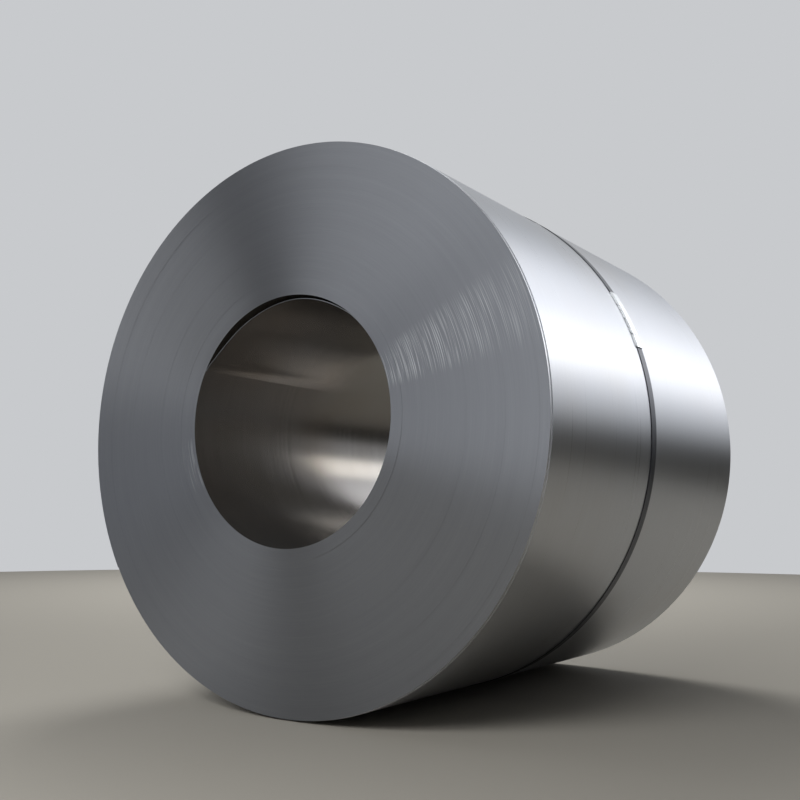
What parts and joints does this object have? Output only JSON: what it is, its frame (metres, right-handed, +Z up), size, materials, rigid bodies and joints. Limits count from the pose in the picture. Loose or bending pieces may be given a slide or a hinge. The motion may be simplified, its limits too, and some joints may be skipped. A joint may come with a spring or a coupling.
{
  "type": "steel coil",
  "caption": "Coil of cold-rolled steel sheet wound on a round bore, lying on its round side and held by a steel strap with crimped seals; its turns show on the ends.",
  "frame": {"origin": "on the floor, midway between the ends and straight below the bore's axis", "axes": "+Z up, the bore's axis along Y, the end seen first at the low Y side, +X to its right hand side"},
  "size_m": [1.3833, 1.25, 1.3832],
  "materials": {
    "coil": "satin cold-rolled steel sheet",
    "strap": "blued and waxed steel strap",
    "seal_lower": "zinc-plated crimped steel",
    "seal_upper": "zinc-plated crimped steel"
  },
  "bodies": {
    "root": {"coil": "coil", "strap": "strap", "seal_lower": "seal_lower", "seal_upper": "seal_upper"}
  },
  "joints": []
}
